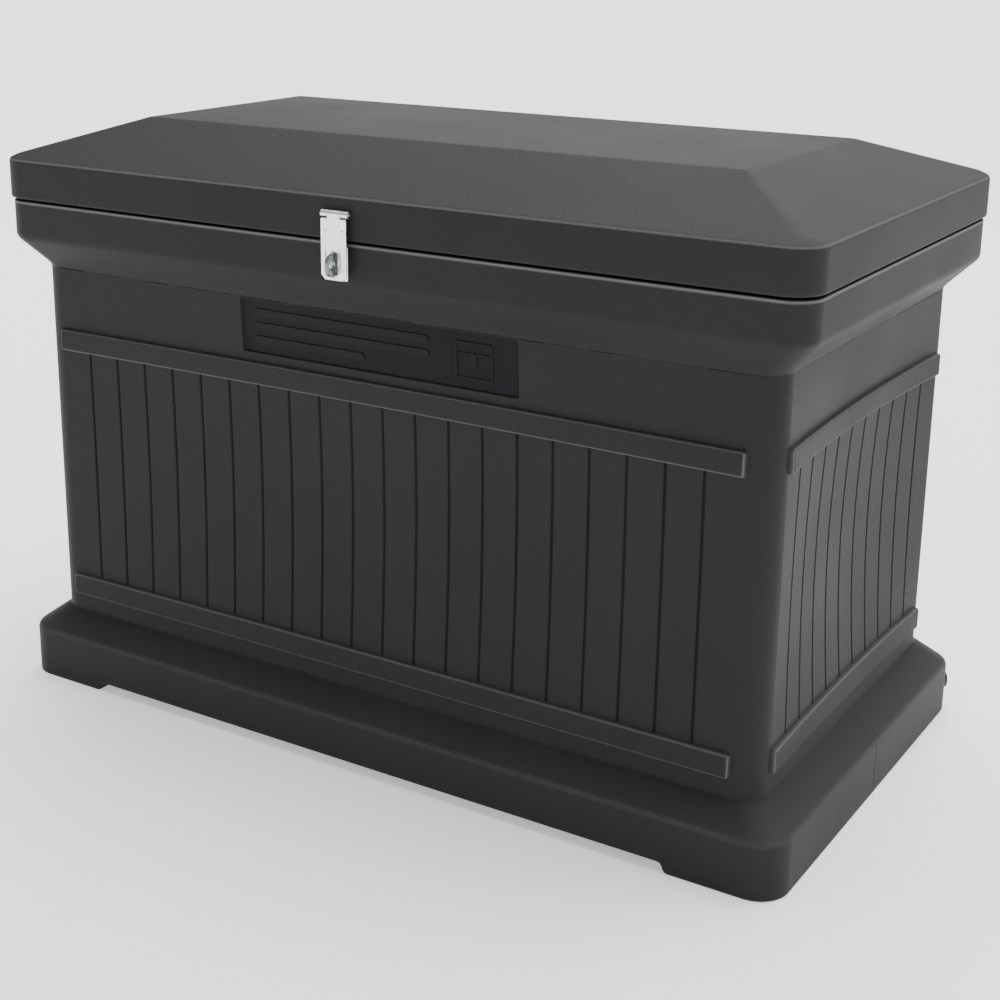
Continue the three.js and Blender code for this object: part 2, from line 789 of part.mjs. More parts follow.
// A headed pin along X: its inner head bears on the eye, and its shank runs outwards to "end".
function headedPin(end, outerHead) {
  const start = eyeHalf + gap;
  const pieces = [barX(strut.pin, -start - 1, end), barX(strut.pin + 2.5, -start - strut.pinHead, -start)];
  if (outerHead) pieces.push(barX(strut.pin + 2.5, end - gap / 2, end + strut.pinHead));
  return join(...pieces);
}

const mirrored = (manifold, sign) => (sign === 1 ? manifold : manifold.mirror([1, 0, 0]));
const atPivot = (manifold, sign, pivot) =>
  mirrored(manifold, sign).translate([sign * strutX, pivot.y, pivot.z]);

// The lower bracket: a plate on the bay's side wall with a boss that holds the pivot pin.
const bossStart = eyeHalf + gap;
const bodyPlateX = strut.fromWall - gap - bracket.thick;

function bodyBracket() {
  const holes = [-strutScrewStep, strutScrewStep].map((step) => [step, 0, pilot]);
  const flat = plate(bracket.width, bracket.height, bracket.thick, 5, holes)
    .rotateX(Math.PI / 2)
    .rotateZ(Math.PI / 2)
    .translate(bodyPlateX, 0, 0);
  const boss = barX(bracket.boss, bossStart, bodyPlateX + bracket.thick / 2);
  return cut(join(flat, boss), barX(pinHole, 0, bodyPlateX - gap));
}

// The upper bracket: an angle under the lid, with a slot that takes up the strut's lost motion.
function lidBracket() {
  const flangeX = lidBracketX - strutX;
  const top = seat - gap;
  const lowest = lidPivot.z + lost.low - pinHole - 5;
  const play = strut.pin + 2 * gap;
  const y = lidBracketY - lidPivot.y;
  const base = box(
    bracket.base + bracket.thick,
    bracket.width,
    bracket.thick,
    flangeX + (bracket.thick - bracket.base) / 2,
    y,
    top - bracket.thick / 2 - lidPivot.z,
  );
  const flange = box(
    bracket.thick,
    bracket.width - 2 * bracket.thick,
    top - lowest,
    flangeX + bracket.thick / 2,
    y,
    (top + lowest) / 2 - lidPivot.z,
  );
  const run = plate(lost.back - lost.front + 2 * play, lost.high - lost.low + 2 * play, 20, strut.pin)
    .rotateX(Math.PI / 2)
    .rotateZ(Math.PI / 2)
    .translate(flangeX - 10, y, (lost.high + lost.low) / 2);
  const holes = [-strutScrewStep, strutScrewStep].map((step) =>
    new THREE.CylinderGeometry(pilot, pilot, 4 * bracket.thick, 8)
      .rotateX(Math.PI / 2)
      .translate(flangeX - bracket.base / 2, y + step, top - lidPivot.z),
  );
  return cut(join(base, flange), run, ...holes);
}

for (const [hand, sign] of [["left", -1], ["right", 1]]) {
  addPiece("strut_tube_" + hand, leaned(strutTube(), sign), blackSteel);
  addPiece("strut_gland_" + hand, leaned(strutGland(), sign), blackPlastic);
  addPiece("strut_piston_" + hand, leaned(strutPiston(), sign), blackPlastic);
  addPiece("strut_rod_" + hand, leaned(strutRod(), sign), polishedSteel);
  addPiece("strut_rod_end_" + hand, leaned(strutRodEnd(), sign), blackPlastic);
  addPiece("strut_body_bracket_" + hand, atPivot(bodyBracket(), sign, bodyPivot), zincPlate);
  const bodyPinEnd = bodyPlateX - 2 * gap;
  addPiece("strut_body_pin_" + hand, atPivot(headedPin(bodyPinEnd, false), sign, bodyPivot), zincPlate);
  addPiece("strut_lid_bracket_" + hand, atPivot(lidBracket(), sign, lidPivot), zincPlate);
  const lidPinEnd = lidBracketX + bracket.thick + gap - strutX;
  addPiece("strut_lid_pin_" + hand, atPivot(headedPin(lidPinEnd, true), sign, lidPivot), zincPlate);
  [-strutScrewStep, strutScrewStep].forEach((step, i) => {
    const number = "_" + (i + 1);
    const sideways = panHeadScrew(gap + bracket.thick)
      .rotateY((-sign * Math.PI) / 2)
      .translate(sign * bayX, bodyPivot.y + step, bodyPivot.z);
    addPiece("strut_body_screw_" + hand + number, solid(sideways), zincPlate);
    const upwards = panHeadScrew(gap + bracket.thick)
      .rotateX(Math.PI)
      .translate(sign * lidBracketScrewX, lidBracketY + step, seat);
    addPiece("strut_lid_screw_" + hand + number, solid(upwards), zincPlate);
  });
}

export default dropBox;
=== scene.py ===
import bpy
import numpy as np
from mathutils import Matrix, Vector


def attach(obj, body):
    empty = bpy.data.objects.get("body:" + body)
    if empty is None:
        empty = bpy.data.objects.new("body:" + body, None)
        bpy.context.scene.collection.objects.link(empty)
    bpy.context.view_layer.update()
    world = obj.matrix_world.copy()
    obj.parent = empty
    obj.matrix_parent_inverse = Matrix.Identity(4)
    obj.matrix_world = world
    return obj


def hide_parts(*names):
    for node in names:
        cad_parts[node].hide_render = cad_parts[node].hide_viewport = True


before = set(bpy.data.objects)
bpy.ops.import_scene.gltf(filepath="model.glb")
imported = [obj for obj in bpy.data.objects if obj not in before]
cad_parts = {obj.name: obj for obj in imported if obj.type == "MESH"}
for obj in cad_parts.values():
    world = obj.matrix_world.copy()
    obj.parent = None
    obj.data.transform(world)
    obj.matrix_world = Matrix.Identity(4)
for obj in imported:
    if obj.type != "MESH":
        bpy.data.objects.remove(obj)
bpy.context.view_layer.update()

# ---- Body -----------------------------------------------------------------------------------------
# The chest is one hollow polyethylene moulding, turned in an oven mould: a plinth on two runners,
# planked walls between two rails, a flared rim, a raised lip, and the parcel bay inside it. Its
# walls pull in a little as they cool.

plinth_half, wall_half, rim_half = (0.551, 0.301), (0.512, 0.272), (0.547, 0.297)
wall_corner = np.array([0.479, 0.239])  # where the walls' corner arcs begin, along X and along Y
wall_pull = np.array([0.010, 0.016])  # how far the front and the end walls pull in at their middle
plinth_top, wall_foot, wall_top = 0.067, 0.098, 0.572
rim_bottom, rim_top, lip_top, bay_floor = 0.608, 0.656, 0.664, 0.056
corner_radius, plinth_radius, rim_radius = 0.033, 0.038, 0.034
rail_middles, rail_half_height, rail_round = (0.135, 0.475), 0.014, 0.003
plank_top, plank_bottom = 0.461, 0.149
grooves_long, grooves_short, groove_depth = 20, 10, 0.0034
label_left, label_right, label_bottom, label_top = -0.180, 0.208, 0.501, 0.5676
label_depth = 0.0024
seam_depth = 0.0007
channel_height = 0.012  # of the channel that leaves a runner at each end of the plinth
channel_steps = np.array([0.411, 0.4145, 0.417, 0.419, 0.4215, 0.425])  # its end's slope, along X
plinth_straight = 0.513  # the plinth's half length less its corner radius


def groove_places(half, count):
    """Centres of the grooves: the wall's straight length cut into count + 1 equal planks."""
    return np.linspace(-half, half, count + 2)[1:-1]


def about(places, offsets):
    """Every place plus every offset, sorted, so that a crease has grid lines close on both sides."""
    return np.unique(np.add.outer(np.atleast_1d(places), np.atleast_1d(offsets)).ravel())


def eased_profile(corners, cuts, steps=5):
    """A run of straight lines whose corners are eased: near each corner P the line follows
    (1-t)^2 A + 2t(1-t) P + t^2 C, with A and C on the straights, one cut away from P, or with a
    cut of its own on each side."""
    corners = np.asarray(corners, float)
    t = np.linspace(0, 1, steps + 1)[:, None]
    rows = [corners[:1]]
    for before, corner, after, cut in zip(corners[:-2], corners[1:-1], corners[2:], cuts):
        back, on = before - corner, after - corner
        back_cut, on_cut = np.broadcast_to(cut, 2)
        back_share = min(0.4, back_cut / np.hypot(back[0], back[3]))
        on_share = min(0.4, on_cut / np.hypot(on[0], on[3]))
        start, end = corner + back * back_share, corner + on * on_share
        curve = (1 - t) ** 2 * start + 2 * t * (1 - t) * corner + t**2 * end
        guard_in, guard_out = corner + back * back_share * 1.2, corner + on * on_share * 1.2
        rows += [guard_in[None], curve, guard_out[None]]
    rows.append(corners[-1:])
    return np.concatenate(rows)


def columns_round(long_lines, short_lines, angles):
    """Columns round a rounded rectangle, anticlockwise from above, starting on the front. Each has
    a share of the half length and half depth, the angle it faces, its place along its own side,
    and the side's number: 0 front, 1 right, 2 back, 3 left."""
    share_x, share_y, facing, along, side = [], [], [], [], []
    for number in range(4):
        turn = number * np.pi / 2
        lines = short_lines if number % 2 else long_lines
        half, next_half = wall_corner[number % 2], wall_corner[1 - number % 2]
        cos, sin = round(np.cos(turn)), round(np.sin(turn))
        share = lines / half
        share_x += [cos * share + sin, np.full(angles.shape, cos + sin)]
        share_y += [sin * share - cos, np.full(angles.shape, sin - cos)]
        facing += [np.full(lines.shape, turn - np.pi / 2), turn - np.pi / 2 + angles]
        early = angles < np.pi / 4
        past = half + corner_radius * angles
        left = -next_half - corner_radius * (np.pi / 2 - angles)
        along += [lines, np.where(early, past, left)]
        side += [np.full(lines.shape, number), np.where(early, number, (number + 1) % 4)]
    return [np.concatenate(each) for each in (share_x, share_y, facing, along, side)]


def rounded_distance(across, up, half_across, half_up, radius):
    """How far a point lies inside a rounded rectangle's outline, negative outside it."""
    over_x = np.abs(across) - (half_across - radius)
    over_z = np.abs(up) - (half_up - radius)
    outside = np.hypot(np.maximum(over_x, 0), np.maximum(over_z, 0))
    return radius - outside - np.minimum(np.maximum(over_x, over_z), 0)


def wall_relief(along, height, side):
    """How far the wall stands out at a place. It pulls in by pull * sin(pi * level) * (1 - s^2),
    with s from -1 to 1 along the wall; rails stand out and the label field and grooves lie back.
    It also gives a mask of painted highlight along the rails' rounded edges, and one of the label
    field."""
    odd = side % 2
    half = wall_corner[odd]
    level = np.clip((height - wall_foot) / (wall_top - wall_foot), 0, 1)
    pull = wall_pull[odd] * np.maximum(0, 1 - (along / half) ** 2)
    relief = -pull * np.sin(np.pi * level)
    inside = np.max(
        [
            rounded_distance(along, height - middle, half, rail_half_height, rail_round)
            for middle in rail_middles
        ],
        axis=0,
    )
    steps_in = np.array([-1.4, -0.5, -0.1, 0, 0.3, 0.9, 1.8, 3]) * 0.001
    steps_out = np.array([0, 0.35, 1.3, 3, 3.9, 5, 5.7, 6]) * 0.001
    rail = np.interp(inside, steps_in, steps_out)
    pitch = 2 * half / (np.where(odd, grooves_short, grooves_long) + 1)
    nearest = np.clip(np.round((along + half) / pitch), 1, np.round(2 * half / pitch) - 1)
    from_groove = np.abs(along + half - nearest * pitch)
    groove = np.interp(from_groove, np.array([0.9, 1.5, 2.2]) * 0.001, np.array([1, 0.55, 0]))
    planked = (height > plank_bottom - 0.0005) & (height < plank_top + 0.0005)
    planks = groove * planked * (1 - np.clip(1 + inside / 0.0014, 0, 1))
    label_x, label_z = (label_left + label_right) / 2, (label_bottom + label_top) / 2
    in_label = rounded_distance(
        along - label_x,
        height - label_z,
        (label_right - label_left) / 2,
        (label_top - label_bottom) / 2,
        0.003,
    )
    label = np.interp(in_label, np.array([-0.8, -0.2, 0.5, 1.2]) * 0.001, [0, 0.15, 0.85, 1])
    label = label * (side == 0)
    relief = relief + rail - groove_depth * planks - label_depth * label
    # Painted highlight: a narrow band along the rails' rounded edges, made pale in the material.
    edge_highlight = np.exp(-(((inside - 0.0009) / 0.0009) ** 2))
    return relief, edge_highlight, label


def ring_quads(rows, columns, joined=False):
    """Quads between neighbouring rings of a grid whose columns close on themselves."""
    last = rows if joined else rows - 1
    row, column = np.mgrid[0:last, 0:columns]
    beside, above = (column + 1) % columns, (row + 1) % rows
    corners = (
        row * columns + column,
        row * columns + beside,
        above * columns + beside,
        above * columns + column,
    )
    return np.stack(corners, axis=-1).reshape(-1, 4).tolist()


def add_piece(name, points, faces, body, slot, replaced, material, masks=None):
    """Makes one mesh object with its place in its points, and ties it to the frame. Mouldings with
    a painted highlight mask are shaded smooth all over, other pieces only across turns of less
    than 30 degrees."""
    mesh = bpy.data.meshes.new(name)
    mesh.from_pydata(np.asarray(points).reshape(-1, 3).tolist(), [], faces)
    masks = masks or {}
    mesh.shade_smooth()
    if "painted_highlight" not in masks:
        mesh.set_sharp_from_angle(angle=np.radians(30))
    for mask, values in masks.items():
        mesh.attributes.new(mask, "FLOAT", "POINT").data.foreach_set("value", values.ravel())
    mesh.materials.append(material)
    piece = bpy.data.objects.new(name, mesh)
    bpy.context.collection.objects.link(piece)
    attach(piece, body)
    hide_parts(*replaced)
    return piece


def grain_group():
    """Shared surface detail from Object coordinates: Cloud is slow variation, Speck is fine
    variation, and Normal is two layers of bump, a pebbled one and a fine one."""
    group = bpy.data.node_groups.new("surface grain", "ShaderNodeTree")
    sockets = (
        ("Cloud scale", 3.0),
        ("Pebble scale", 260.0),
        ("Pebble depth", 0.0002),
        ("Fine scale", 1500.0),
        ("Fine depth", 0.00005),
    )
    for title, value in sockets:
        socket = group.interface.new_socket(title, in_out="INPUT", socket_type="NodeSocketFloat")
        socket.default_value = value
    for title in ("Cloud", "Speck"):
        group.interface.new_socket(title, in_out="OUTPUT", socket_type="NodeSocketFloat")
    group.interface.new_socket("Normal", in_out="OUTPUT", socket_type="NodeSocketVector")
    nodes, link = group.nodes, group.links.new
    inward, outward = nodes.new("NodeGroupInput"), nodes.new("NodeGroupOutput")
    place = nodes.new("ShaderNodeTexCoord").outputs["Object"]
    noises = {}
    for title, detail in (("Cloud", 5.0), ("Pebble", 2.0), ("Fine", 2.0)):
        noise = nodes.new("ShaderNodeTexNoise")
        noise.inputs["Detail"].default_value = detail
        link(place, noise.inputs["Vector"])
        link(inward.outputs[title + " scale"], noise.inputs["Scale"])
        noises[title] = noise.outputs["Fac"]
    normal = None
    for title in ("Pebble", "Fine"):
        bump = nodes.new("ShaderNodeBump")
        link(noises[title], bump.inputs["Height"])
        link(inward.outputs[title + " depth"], bump.inputs["Distance"])
        if normal:
            link(normal, bump.inputs["Normal"])
        normal = bump.outputs["Normal"]
    link(noises["Cloud"], outward.inputs["Cloud"])
    link(noises["Fine"], outward.inputs["Speck"])
    link(normal, outward.inputs["Normal"])
    return group


surface_grain = grain_group()


def grained(material, **settings):
    """Places the shared grain in a material with this finish's settings, and returns its node."""
    node = material.node_tree.nodes.new("ShaderNodeGroup")
    node.node_tree = surface_grain
    for title, value in settings.items():
        node.inputs[title.replace("_", " ").capitalize()].default_value = value
    shader = material.node_tree.nodes["Principled BSDF"]
    material.node_tree.links.new(node.outputs["Normal"], shader.inputs["Normal"])
    return node


def blended(material, share, first, second, most=1.0):
    """A colour that goes from first to second as share goes from 0 to most."""
    nodes, link = material.node_tree.nodes, material.node_tree.links.new
    scaled = nodes.new("ShaderNodeMapRange")
    scaled.inputs["To Max"].default_value = most
    link(share, scaled.inputs["Value"])
    mix = nodes.new("ShaderNodeMix")
    mix.data_type = "RGBA"
    link(scaled.outputs["Result"], mix.inputs["Factor"])
    for colour, socket in ((first, mix.inputs["A"]), (second, mix.inputs["B"])):
        if isinstance(colour, tuple):
            socket.default_value = (*colour, 1)
        else:
            link(colour, socket)
    return mix.outputs["Result"]


def ranged(material, share, low, high):
    """A number that goes from low to high over the middle of a noise's range, 0.3 to 0.7."""
    node = material.node_tree.nodes.new("ShaderNodeMapRange")
    for title, value in (("From Min", 0.3), ("From Max", 0.7), ("To Min", low), ("To Max", high)):
        node.inputs[title].default_value = value
    material.node_tree.links.new(share, node.inputs["Value"])
    return node.outputs["Result"]


def moulded_polyethylene():
    """Dark grey polyethylene: slow cloudy mottling, a pebbled mould texture, painted highlights that
    make rounded edges much paler, and a darker label field."""
    material = bpy.data.materials.new("moulded polyethylene")
    material.use_nodes = True
    nodes, link = material.node_tree.nodes, material.node_tree.links.new
    shader = nodes["Principled BSDF"]
    grain = grained(
        material, cloud_scale=5.0, pebble_scale=300.0, pebble_depth=0.0005, fine_scale=800.0
    )
    painted_highlight, label = nodes.new("ShaderNodeAttribute"), nodes.new("ShaderNodeAttribute")
    painted_highlight.attribute_name, label.attribute_name = "painted_highlight", "label"
    cloud = ranged(material, grain.outputs["Cloud"], 0, 1)
    body_colour = blended(material, cloud, (0.0106, 0.0111, 0.0128), (0.0166, 0.0168, 0.0178))
    specked = blended(material, grain.outputs["Speck"], body_colour, (0.055, 0.055, 0.058), 0.45)
    in_label = blended(material, label.outputs["Fac"], specked, (0.0090, 0.0095, 0.0112))
    # Painted highlight: a pale grey laid along the edges in the painted highlight mask.
    highlighted = blended(material, painted_highlight.outputs["Fac"], in_label, (0.24, 0.242, 0.25), 0.85)
    link(highlighted, shader.inputs["Base Color"])
    link(ranged(material, grain.outputs["Cloud"], 0.5, 0.6), shader.inputs["Roughness"])
    shader.inputs["Specular IOR Level"].default_value = 0.10
    return material


polyethylene = moulded_polyethylene()


def body_moulding():
    """The body's surface: column u runs round the box and row v along its section. At a row's
    height x = share_x * (half length - r) + (r + relief) cos f and
    y = share_y * (half depth - r) + (r + relief) sin f,
    where r is the row's corner radius and f the angle that the column faces."""
    groove_lines = np.array([-3.2, -2.2, -1.5, -0.9, 0.9, 1.5, 2.2, 3.2]) * 0.001
    edge_lines = np.array([0, 0.3, 0.9, 1.8, 3, 4.2]) * 0.001
    field_lines = np.array([-1.6, -0.8, -0.2, 0.5, 1.2, 2]) * 0.001
    runner_lines = channel_steps * wall_corner[0] / plinth_straight
    long_half, short_half = wall_corner
    long_lines = np.unique(
        np.concatenate(
            [
                np.linspace(-long_half, long_half, 25),
                about(groove_places(long_half, grooves_long), groove_lines),
                long_half - edge_lines,
                edge_lines - long_half,
                label_left + field_lines,
                label_right - field_lines,
                runner_lines,
                -runner_lines,
            ]
        ).round(6)
    )
    short_lines = np.unique(
        np.concatenate(
            [
                np.linspace(-short_half, short_half, 13),
                about(groove_places(short_half, grooves_short), groove_lines),
                short_half - edge_lines,
                edge_lines - short_half,
                np.array([-1.5, -0.8, -0.3, 0.3, 0.8, 1.5]) * 0.001,
            ]
        ).round(6)
    )
    angles = [0.2, 0.9, 2.4, 4.5, 12, 20, 29, 37, 44.9, 53, 61, 70, 78, 85.5, 87.6, 89.1, 89.8]
    angles = np.radians(angles)
    share_x, share_y, facing, along, side = columns_round(long_lines, short_lines, angles)

    foot = eased_profile(
        [
            (0.545, 0.295, 0.032, 0),
            (*plinth_half, plinth_radius, 0),
            (*plinth_half, plinth_radius, plinth_top),
            (*wall_half, corner_radius, wall_foot),
            (*wall_half, corner_radius, 0.2),
        ],
        (0.0035, 0.005, 0.003),
    )[:-1]
    crease = np.array([-2.4, -1.4, -0.5, -0.1, 0, 0.3, 0.9, 1.8, 3, 4.2]) * 0.001
    heights = np.concatenate(
        [np.linspace(0.11, 0.56, 16), label_bottom + field_lines, label_top - field_lines]
        + [middle - rail_half_height + crease for middle in rail_middles]
        + [middle + rail_half_height - crease for middle in rail_middles]
    )
    heights = np.unique(heights.round(6))
    wall = np.column_stack([np.tile([*wall_half, corner_radius], (len(heights), 1)), heights])
    head = eased_profile(
        [
            (*wall_half, corner_radius, 0.5),
            (*wall_half, corner_radius, wall_top),
            (*rim_half, rim_radius, rim_bottom),
            (*rim_half, rim_radius, 0.6505),
            (*rim_half, rim_radius, rim_top),
            (0.490, 0.250, 0.040, rim_top),
            (0.490, 0.250, 0.040, lip_top),
            (0.480, 0.240, 0.030, lip_top),
            (0.480, 0.240, 0.030, bay_floor),
            (0.460, 0.220, 0.012, bay_floor),
        ],
        ((0.0024, 0.012), 0.0060, 0.0004, 0.0035, 0.0015, 0.002, 0.002, 0.012),
    )[1:]
    section = np.concatenate([foot, wall, head])
    outside = np.arange(len(section)) < len(foot) + len(wall) + 32
    on_wall = outside & (section[:, 3] > wall_foot) & (section[:, 3] < wall_top)

    half_x, half_y, radius, height = section.T[:, None, :]
    relief, edge_highlight, label = wall_relief(along[:, None], height, side[:, None])
    relief, edge_highlight, label = relief * on_wall, edge_highlight * on_wall, label * on_wall
    parting = (side % 2 == 1) & (np.abs(along) < 0.0005)
    seam = parting[:, None] & outside & (height > 0.004) & (height < wall_foot)
    relief = relief - seam_depth * seam
    # Painted highlight lines: one along the plinth's top edge and one just under the rim's top edge,
    # added to half of the rails' painted highlight.
    edges = np.zeros_like(height)
    for level, width, share in ((plinth_top, 0.004, 0.12), (rim_top - 0.0022, 0.0011, 0.7)):
        near = np.exp(-(((height - level) / width) ** 2)) * outside * ~on_wall
        edges = edges + share * near
    edge_highlight = np.clip(edge_highlight * 0.5 + edges, 0, 1)

    reach = radius + relief
    x = share_x[:, None] * (half_x - radius) + reach * np.cos(facing[:, None])
    y = share_y[:, None] * (half_y - radius) + reach * np.sin(facing[:, None])
    over_channel = np.interp(
        np.abs(share_x) * plinth_straight,
        channel_steps,
        [1, 0.95, 0.7, 0.3, 0.05, 0],
    ) * (np.abs(share_y) == 1)
    lift = channel_height * over_channel[:, None] * np.clip(1 - height / 0.05, 0, 1) * outside
    z = height + lift
    points = np.stack([x, y, z], axis=-1).transpose(1, 0, 2)
    rows, columns = points.shape[:2]

    faces = ring_quads(rows, columns)
    faces.append(list(range((rows - 1) * columns, rows * columns)))
    count, back_start = len(long_lines), len(long_lines) + 2 * len(angles) + len(short_lines)
    front = np.arange(count)
    back = back_start + np.arange(count)[::-1]
    faces += np.stack([front[:-1], back[:-1], back[1:], front[1:]], axis=-1).tolist()
    faces.append(list(range(count - 1, back_start + 1))[::-1])
    faces.append((list(range(back_start + count - 1, columns)) + [0])[::-1])
    masks = {"painted_highlight": edge_highlight.T, "label": label.T}
    return points, faces, masks


body_points, body_faces, body_masks = body_moulding()
add_piece(
    "body", body_points, body_faces, "box", "polyethylene", ["body_shell"], polyethylene, body_masks
)

# ---- Label field ----------------------------------------------------------------------------------
# The recessed field on the front carries a moulded relief: three plain bars and the outline of a
# taped parcel. It has no lettering.


def rounded_outline(width, height, radii, steps=6, straight=False):
    """A rounded rectangle's outline, anticlockwise from its right-hand side: at each corner an arc
    of its own radius, or a straight chamfer. Radii run from the top right corner round."""
    radii = np.broadcast_to(radii, 4).astype(float)
    signs = np.array([(1, 1), (-1, 1), (-1, -1), (1, -1)])
    share = np.linspace(0, 1, steps + 1)
    parts = []
    for number, (sign, radius) in enumerate(zip(signs, radii)):
        angle = (number + share) * np.pi / 2
        arc = np.stack([np.cos(angle), np.sin(angle)], axis=-1)
        if straight:
            arc = arc[:1] * (1 - share[:, None]) + arc[-1:] * share[:, None]
        centre = sign * (np.array([width, height]) / 2 - radius)
        parts.append(centre + radius * arc)
    return np.concatenate(parts)


def pressed_plate(outline, thick, ease=0.0004, hole=None):
    """A flat pressed plate: its outline carried up from z = 0 to its thickness with eased edges,
    closed by flat faces, or with a ring of faces in to a hole's outline of as many points."""

    def shrunk(ring, by):
        """The ring drawn in towards its middle, by this much along X and along Y."""
        centre = ring.mean(axis=0)
        away = ring - centre
        return centre + away * (1 - by / np.abs(away).max(axis=0))

    def lifted(ring, z):
        """The ring's points at one height."""
        return np.column_stack([ring, np.full(len(ring), z)])

    inner = shrunk(outline, ease)
    rings = [
        lifted(inner, 0),
        lifted(outline, ease),
        lifted(outline, thick - ease),
        lifted(inner, thick),
    ]
    if hole is not None:
        wider = shrunk(hole, -ease)
        rings += [
            lifted(wider, thick),
            lifted(hole, thick - ease),
            lifted(hole, ease),
            lifted(wider, 0),
        ]
    count = len(outline)
    faces = ring_quads(len(rings), count, joined=hole is not None)
    if hole is None:
        faces += [list(range(count))[::-1], list(range(3 * count, 4 * count))]
    return np.concatenate(rings), faces


def moved(solid, x=0.0, y=0.0, z=0.0):
    """A solid shifted by (x, y, z)."""
    return solid[0] + (x, y, z), solid[1]


def together(*solids):
    """Several closed solids as the points and faces of one mesh."""
    points, faces, first = [], [], 0
    for solid_points, solid_faces in solids:
        points.append(solid_points)
        faces += [[corner + first for corner in face] for face in solid_faces]
        first += len(solid_points)
    return np.concatenate(points), faces


relief_thick, relief_ease, relief_sunk = 0.0014, 0.0005, 0.0003


def bar_in_field(width, height, x, y, radius=0.0012):
    """A rib of the relief: a low rounded bar with its middle at (x, y) in the field."""
    bar = pressed_plate(rounded_outline(width, height, radius, 4), relief_thick, relief_ease)
    return moved(bar, x=x, y=y)


parcel_frame = pressed_plate(
    rounded_outline(0.050, 0.044, 0.003),
    relief_thick,
    relief_ease,
    rounded_outline(0.044, 0.038, 0.0015),
)
relief_points, relief_faces = together(
    bar_in_field(0.250, 0.0100, -0.050, 0.0170, 0.0040),
    bar_in_field(0.250, 0.0100, -0.050, 0.0000, 0.0040),
    bar_in_field(0.160, 0.0100, -0.095, -0.0170, 0.0040),
    moved(parcel_frame, x=0.135),
    bar_in_field(0.0430, 0.0026, 0.135, 0.0080),
    bar_in_field(0.0080, 0.0160, 0.135, 0.0010),
)
relief_x = relief_points[:, 0] + (label_left + label_right) / 2
relief_z = relief_points[:, 1] + (label_bottom + label_top) / 2
wall_out = wall_half[1] + wall_relief(relief_x, relief_z, 0)[0]
relief_y = relief_sunk - relief_points[:, 2] - wall_out
relief_points = np.stack([relief_x, relief_y, relief_z], axis=-1)
relief_masks = {"label": np.full(len(relief_points), 0.75)}
add_piece(
    "label_relief",
    relief_points,
    relief_faces,
    "box",
    "polyethylene",
    [],
    polyethylene,
    relief_masks,
)

# ---- Lid ------------------------------------------------------------------------------------------
# The lid is a second hollow moulding: a straight rim that overhangs the body by 3 mm, four hipped
# slopes up to a flat top, and underneath a seat for the body's lip and a shallow hollow.

lid_half, lid_radius = (0.550, 0.300), 0.036
lid_foot, lid_rim_top, lid_top = 0.6585, 0.7085, 0.7565
seat_ceiling, hollow_ceiling = 0.6643, 0.7063


def lid_moulding():
    """The lid's surface, ring by ring: hollow, seat and rim edge underneath, then up the rim and
    over the slopes to the flat top. Columns and corner arcs are worked as the body's are."""
    parting = np.array([-1.2, -0.6, -0.2, 0.2, 0.6, 1.2]) * 0.001
    long_lines = np.linspace(-wall_corner[0], wall_corner[0], 41)
    short_lines = np.unique(np.append(np.linspace(-wall_corner[1], wall_corner[1], 20), parting))
    angles = np.radians([1, 4, 10, 17, 24, 31, 38, 44.9, 52, 59, 66, 73, 80, 86, 89])
    share_x, share_y, facing, along, side = columns_round(long_lines, short_lines, angles)
    section = eased_profile(
        [
            (0.400, 0.190, 0.020, hollow_ceiling),
            (0.425, 0.215, 0.030, hollow_ceiling),
            (0.425, 0.215, 0.030, seat_ceiling),
            (0.494, 0.254, 0.044, seat_ceiling),
            (0.494, 0.254, 0.044, lid_foot),
            (*lid_half, lid_radius, lid_foot),
            (*lid_half, lid_radius, lid_rim_top),
            (0.5339, 0.2831, 0.012, 0.7143),
            (0.416, 0.159, 0.005, lid_top),
            (0.380, 0.123, 0.002, lid_top),
        ],
        (0.006, 0.003, 0.002, 0.0015, 0.0035, 0.0045, 0.004, 0.003),
    )
    half_x, half_y, radius, height = section.T[:, None, :]
    outside = (np.arange(len(section)) > 40) & (height[0] > 0.662) & (height[0] < 0.705)
    seam = ((side % 2 == 1) & (np.abs(along) < 0.0004))[:, None] & outside
    reach = radius - 0.0002 * seam
    x = share_x[:, None] * (half_x - radius) + reach * np.cos(facing[:, None])
    y = share_y[:, None] * (half_y - radius) + reach * np.sin(facing[:, None])
    z = np.broadcast_to(height, x.shape)
    points = np.stack([x, y, z], axis=-1).transpose(1, 0, 2)
    rows, columns = points.shape[:2]
    faces = ring_quads(rows, columns)
    faces.append(list(range(columns))[::-1])
    faces.append(list(range((rows - 1) * columns, rows * columns)))
    # Painted highlight: a thin pale line along the top edge of the lid's rim.
    edge = 0.5 * np.exp(-(((height - 0.7075) / 0.0011) ** 2))
    painted_highlight = np.broadcast_to(edge, x.shape).T.copy()
    return points, faces, {"painted_highlight": painted_highlight, "label": np.zeros_like(painted_highlight)}


lid_points, lid_faces, lid_masks = lid_moulding()
add_piece(
    "lid", lid_points, lid_faces, "lid", "polyethylene", ["lid_shell"], polyethylene, lid_masks
)

# ---- Plugs ----------------------------------------------------------------------------------------
# Two press-in plugs of black plastic close the vent holes of the hollow mouldings: one low on the
# body's right rear corner, one in the lid's hollow.


def black_plastic_finish():
    """Black injection-moulded plastic with a fine spark-eroded texture and faint dusty clouds."""
    material = bpy.data.materials.new("black plastic")
    material.use_nodes = True
    shader = material.node_tree.nodes["Principled BSDF"]
    link = material.node_tree.links.new
    grain = grained(material, cloud_scale=40.0, pebble_scale=1800.0, pebble_depth=0.00004)
    colour = blended(material, grain.outputs["Cloud"], (0.010, 0.010, 0.011), (0.026, 0.026, 0.027))
    link(colour, shader.inputs["Base Color"])
    link(ranged(material, grain.outputs["Cloud"], 0.38, 0.52), shader.inputs["Roughness"])
    return material


black_plastic = black_plastic_finish()


